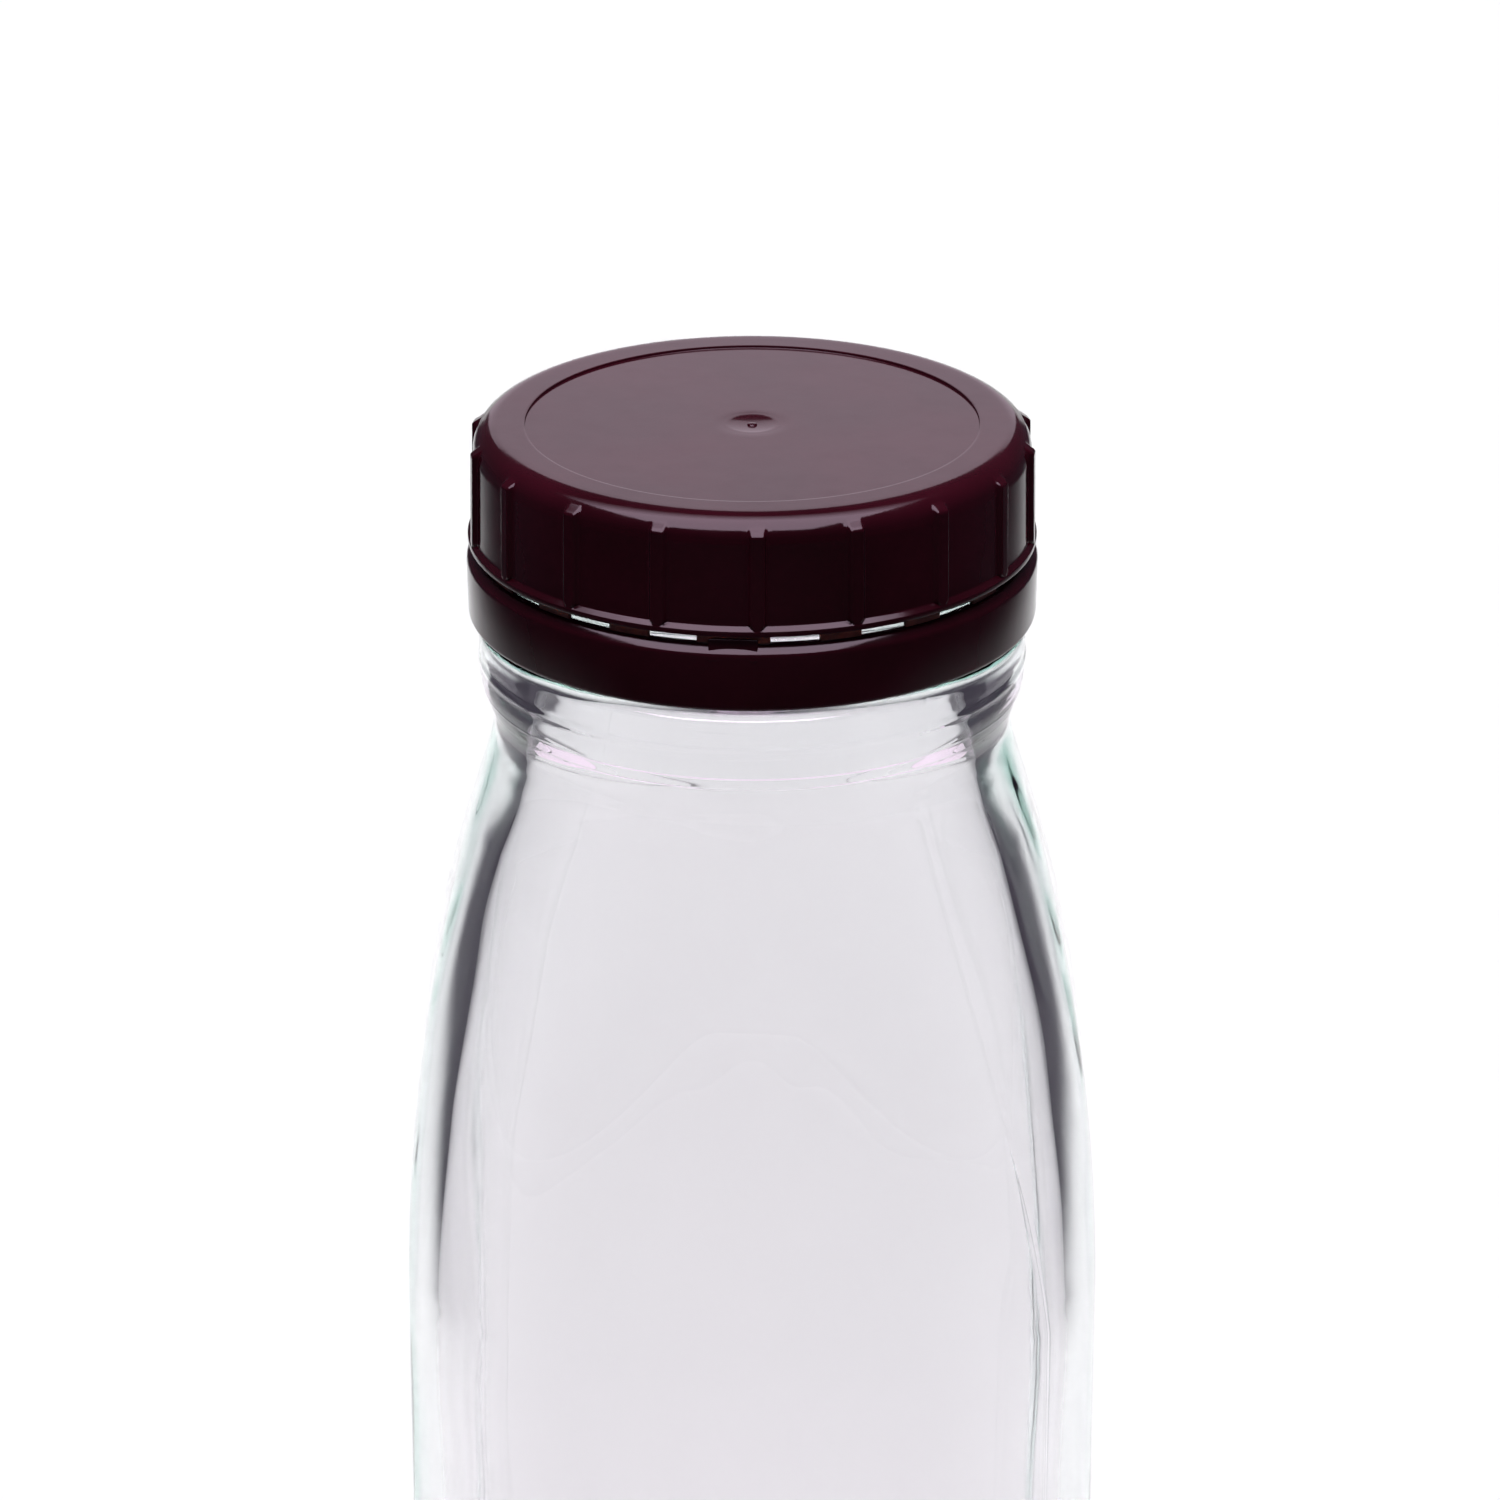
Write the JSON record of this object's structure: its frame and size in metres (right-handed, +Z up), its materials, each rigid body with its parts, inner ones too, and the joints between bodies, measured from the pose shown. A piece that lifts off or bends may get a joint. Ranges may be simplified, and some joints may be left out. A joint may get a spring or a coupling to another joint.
{
  "type": "glass milk bottle",
  "caption": "Square clear-glass milk bottle with a round neck, ribbed maroon screw cap, foam sealing liner and a free tamper-evident band.",
  "frame": {"origin": "centre of the base, on the plane that the bottle stands on", "axes": "+Z up along the bottle's axis, -Y out of the front panel, +X to the right seen from the front"},
  "size_m": [0.064, 0.064, 0.182],
  "materials": {
    "glass": "clear flint glass, fire-polished, faint green in thick edges",
    "cap_plastic": "moulded polypropylene, glossy skirt, satin top",
    "liner_foam": "closed-cell foam with a smooth skin"
  },
  "bodies": {
    "bottle": {"glass_bottle": "glass"},
    "liner": {"cap_liner": "liner_foam"},
    "cap": {"cap_shell": "cap_plastic"},
    "band": {"tamper_band": "cap_plastic"}
  },
  "joints": [
    {"name": "cap_lift", "type": "slide", "parent": "bottle", "child": "liner", "axis": [0, 0, 1], "range_m": [0, 0.0195]},
    {"name": "cap_turn", "type": "hinge", "parent": "liner", "child": "cap", "pos_m": [0, 0, 0.176], "axis": [0, 0, 1], "range_deg": [0, 720]},
    {"name": "band_turn", "type": "hinge", "parent": "bottle", "child": "band", "pos_m": [0, 0, 0.167], "axis": [0, 0, 1], "continuous": true}
  ],
  "couplings": [
    {"joint": "cap_lift", "follows": "cap_turn", "m_per_rad": 0.001516}
  ]
}
